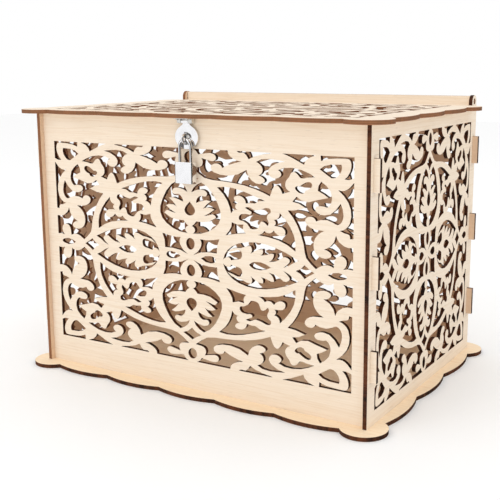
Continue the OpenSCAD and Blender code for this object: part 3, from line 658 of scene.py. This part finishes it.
class CARDBOX_OT_padlock(bpy.types.Operator):
    """Padlock: body, shackle, barrel, latch and spring"""

    bl_idname = "cardbox.padlock"
    bl_label = "Padlock"

    def execute(self, context):
        metal = context.scene.card_box.metal
        bright = plated("padlock_nickel_finish", metal.bright, 0.05, Z)
        dull = plated("latch_steel_finish", metal.dull, 0.32, X)
        brass = plated("barrel_brass_finish", metal.brass, 0.25, Z)
        self.case(bright, metal.rounding * 1.6)
        self.shackle(bright)
        paint_node("lock_plug", brass)
        paint_node("lock_latch", dull)
        self.spring(dull)
        return {"FINISHED"}

    def case(self, mat, ease):
        """A rounded block with eased rims, two blind bores in its top and one in its bottom.

        Each level is a rounded rectangle drawn in by how far the quarter-round rim has turned."""
        low, high = span("padlock_body")
        centre = (low + high) / 2
        half = (high - low) / 2
        shackle_low, shackle_high = span("padlock_shackle")
        plug_low, plug_high = span("lock_plug")
        corner = 0.0012
        flat_margin = 0.0003
        long_bore, short_bore = 0.013, 0.0066
        a = np.linspace(0, math.pi / 2, 5)
        levels = [(low[2] + ease * (1 - np.cos(t)), ease * (1 - np.sin(t))) for t in a]
        levels.append((low[2] + ease + flat_margin, 0.0))
        levels += [(high[2] - (z - low[2]), i) for z, i in levels[::-1]]
        bm = bmesh.new()
        rings = []
        for z, inset in levels:
            flat = rounded_outline(half[0] - inset, half[1] - inset, corner - inset)
            rings.append([bm.verts.new((centre[0] + x, centre[1] + y, z)) for x, y in flat])
        join_rings(bm, rings)
        leg_r = (shackle_high[1] - shackle_low[1]) / 2
        leg_x = (shackle_high[0] - shackle_low[0]) / 2 - leg_r
        bore = leg_r + 0.0002
        tops = [bored(bm, (x, centre[1]), bore, high[2], -depth)
                for x, depth in ((-leg_x, long_bore), (leg_x, short_bore))]
        barrel = (plug_high[0] - plug_low[0]) / 2 + 0.00015
        under = [bored(bm, (centre[0], centre[1]), barrel, low[2], plug_high[2] - low[2])]
        for outline, holes in ((rings[-1], tops), (rings[0], under)):
            edges = loop_edges(bm, outline)
            for hole in holes:
                edges += loop_edges(bm, hole)
            bmesh.ops.triangle_fill(bm, use_beauty=True, edges=edges)
        bmesh.ops.recalc_face_normals(bm, faces=bm.faces)
        mesh = bpy.data.meshes.new("lock_case")
        bm.to_mesh(mesh)
        bm.free()
        settle("lock_case", mesh, mat, "padlock", ("padlock_body",), 35.0)

    def shackle(self, mat):
        """A bent bar: long leg up, half circle over, short leg down with a notch for the latch.

        The radius along the bar is read at each height; the ends are eased by a short slope."""
        low, high = span("padlock_shackle")
        case_top = span("padlock_body")[1][2]
        r = (high[1] - low[1]) / 2
        leg = (high[0] - low[0]) / 2 - r
        y = (low[1] + high[1]) / 2
        bend_z = high[2] - r - leg
        latch_low, latch_high = span("lock_latch")
        bite = 0.0007
        ease = 0.0003
        long_leg = [(low[2], r - ease), (low[2] + ease, r), (case_top, r), (bend_z - 0.001, r)]
        notch_top = latch_high[2] + 0.0002
        notch_low = latch_low[2] - 0.0002
        short_leg = [
            (bend_z - 0.001, r), (case_top, r), (notch_top + 0.00002, r), (notch_top, r - bite),
            (notch_low, r - bite), (notch_low - bite / 0.3 + 0.00005, r),
            (notch_low - bite / 0.3, r - ease * 0.5),
        ]
        turn = np.linspace(math.pi, 0, 37)
        bend = np.stack([leg * np.cos(turn), np.full_like(turn, y), bend_z + leg * np.sin(turn)],
                        axis=1)
        up = np.array([(-leg, y, z) for z, _ in long_leg])
        down = np.array([(leg, y, z) for z, _ in short_leg])
        radius = [q for _, q in long_leg] + [r] * len(bend) + [q for _, q in short_leg]
        verts, faces = tube(np.concatenate([up, bend, down]), radius, 28, (0.0, 1.0, 0.0))
        add_piece("lock_shackle", verts, faces, mat, "shackle",
                  ("padlock_shackle",), 50.0)

    def spring(self, mat):
        """A coil: a wire carried along a helix whose end turns lie closer together."""
        low, high = span("shackle_spring")
        centre = (low + high) / 2
        wire = 0.0002
        radius = (high[0] - low[0]) / 2 - wire
        turns = 6
        t = np.linspace(0, 1, turns * 20 + 1)
        climb = t - 0.06 * np.sin(2 * math.pi * t)
        path = np.stack([
            centre[0] + radius * np.cos(2 * math.pi * turns * t),
            centre[1] + radius * np.sin(2 * math.pi * turns * t),
            low[2] + wire + (high[2] - low[2] - 2 * wire) * climb,
        ], axis=1)
        verts, faces = tube(path, wire, 8, (0.0, 0.0, 1.0))
        add_piece("lock_spring", verts, faces, mat, "padlock",
                  ("shackle_spring",))


class CARDBOX_OT_stage(bpy.types.Operator):
    """Floor, soft lights and the camera"""

    bl_idname = "cardbox.stage"
    bl_label = "Stage"

    def execute(self, context):
        stage = context.scene.card_box.stage
        self.floor(stage)
        self.lights(context, stage)
        self.camera(context, stage)
        return {"FINISHED"}

    def floor(self, stage):
        """A wide flat sheet just under the base."""
        side = np.linspace(-3.0, 3.0, 7)
        gx, gy = np.meshgrid(side, side, indexing="ij")
        verts = np.stack([gx, gy, np.full_like(gx, -0.0002)], axis=-1).reshape(-1, 3)
        i = np.arange(6)[:, None] * 7 + np.arange(6)[None, :]
        quads = np.stack([i, i + 7, i + 8, i + 1], axis=-1).reshape(-1, 4)
        mesh = bpy.data.meshes.new("floor")
        mesh.from_pydata(verts.tolist(), [], quads.tolist())
        floor = bpy.data.objects.new("floor", mesh)
        bpy.context.scene.collection.objects.link(floor)
        paint(floor, bare_floor(stage.floor))
        # the metal mirrors the room round it, not the floor
        floor.visible_glossy = False

    def lights(self, context, stage):
        world = bpy.data.worlds.new("even_white")
        context.scene.world = world
        world.use_nodes = True
        tree = world.node_tree
        background = tree.nodes["Background"]
        background.inputs[1].default_value = stage.sky
        # polished metal mirrors a white wall on the front left and a dark room to both sides;
        # every other ray meets plain white
        wall_centre, wall_half, dark_from = -0.42, 0.34, 0.56
        white_wall = (0.97, 0.97, 0.98, 1.0)
        dark_room = (0.05, 0.045, 0.04, 1.0)
        coord = tree.nodes.new("ShaderNodeTexCoord")
        parts = tree.nodes.new("ShaderNodeSeparateXYZ")
        offset = tree.nodes.new("ShaderNodeMath")
        offset.operation = "ADD"
        offset.inputs[1].default_value = -wall_centre
        away = tree.nodes.new("ShaderNodeMath")
        away.operation = "ABSOLUTE"
        ramp = tree.nodes.new("ShaderNodeValToRGB")
        ray = tree.nodes.new("ShaderNodeLightPath")
        choose = tree.nodes.new("ShaderNodeMix")
        choose.data_type = "RGBA"
        tree.links.new(coord.outputs["Generated"], parts.inputs[0])
        tree.links.new(parts.outputs["X"], offset.inputs[0])
        tree.links.new(offset.outputs[0], away.inputs[0])
        tree.links.new(away.outputs[0], ramp.inputs[0])
        ramp.color_ramp.elements[0].position = wall_half
        ramp.color_ramp.elements[0].color = white_wall
        ramp.color_ramp.elements[1].position = dark_from
        ramp.color_ramp.elements[1].color = dark_room
        tree.links.new(ray.outputs["Is Glossy Ray"], choose.inputs[0])
        choose.inputs[6].default_value = (1.0, 1.0, 1.0, 1.0)
        tree.links.new(ramp.outputs["Color"], choose.inputs[7])
        tree.links.new(choose.outputs[2], background.inputs[0])
        context.scene.view_settings.view_transform = "Standard"
        for name, place, size, power in (
            ("key", (-0.55, -1.3, 1.2), 1.1, stage.key),
            ("fill", (0.3, 0.1, 1.6), 1.6, stage.fill),
        ):
            lamp = bpy.data.lights.new(name, "AREA")
            lamp.shape = "DISK"
            lamp.size = size
            lamp.energy = power
            obj = bpy.data.objects.new(name, lamp)
            context.scene.collection.objects.link(obj)
            obj.location = place
            aim = Vector((0.0, 0.0, 0.1)) - Vector(place)
            obj.rotation_euler = aim.to_track_quat("-Z", "Y").to_euler()

    def camera(self, context, stage):
        """The camera looks along its azimuth and elevation, then rolls about that line."""
        a, e, roll = stage.azimuth, stage.elevation, stage.roll
        back = Vector((math.sin(a) * math.cos(e), -math.cos(a) * math.cos(e), math.sin(e)))
        right = Vector((0, 0, 1)).cross(back).normalized()
        up = back.cross(right)
        rolled_right = right * math.cos(roll) + up * math.sin(roll)
        rolled_up = up * math.cos(roll) - right * math.sin(roll)
        lens = bpy.data.cameras.new("camera")
        lens.lens = stage.lens
        lens.sensor_width = 36.0
        lens.shift_x = stage.shift_x
        lens.shift_y = stage.shift_y
        lens.clip_start = 0.02
        lens.clip_end = 20.0
        camera = bpy.data.objects.new("camera", lens)
        context.scene.collection.objects.link(camera)
        turn = Matrix((rolled_right, rolled_up, back)).transposed().to_4x4()
        camera.matrix_world = Matrix.Translation(Vector(stage.camera_place)) @ turn
        context.scene.camera = camera


STEPS = (
    CARDBOX_OT_walls,
    CARDBOX_OT_base,
    CARDBOX_OT_lid,
    CARDBOX_OT_hasp,
    CARDBOX_OT_padlock,
    CARDBOX_OT_stage,
)


class CARDBOX_PT_panel(bpy.types.Panel):
    """Card box tools"""

    bl_idname = "CARDBOX_PT_panel"
    bl_label = "Card box"
    bl_space_type = "VIEW_3D"
    bl_region_type = "UI"
    bl_category = "Card box"

    def draw(self, context):
        settings = context.scene.card_box
        for step in STEPS:
            self.layout.operator(step.bl_idname, text=step.bl_label)
        for group in (settings.wood, settings.metal, settings.stage):
            box = self.layout.box()
            for key in group.__annotations__:
                box.prop(group, key)


CLASSES = (CardBoxWood, CardBoxMetal, CardBoxStage, CardBoxSettings, *STEPS, CARDBOX_PT_panel)


def register():
    for cls in CLASSES:
        bpy.utils.register_class(cls)
    bpy.types.Scene.card_box = PointerProperty(type=CardBoxSettings)


def unregister():
    del bpy.types.Scene.card_box
    for cls in reversed(CLASSES):
        bpy.utils.unregister_class(cls)


def main():
    register()
    for step in STEPS:
        group, name = step.bl_idname.split(".")
        getattr(getattr(bpy.ops, group), name)()
    bpy.context.view_layer.update()


if __name__ == "__main__":
    main()
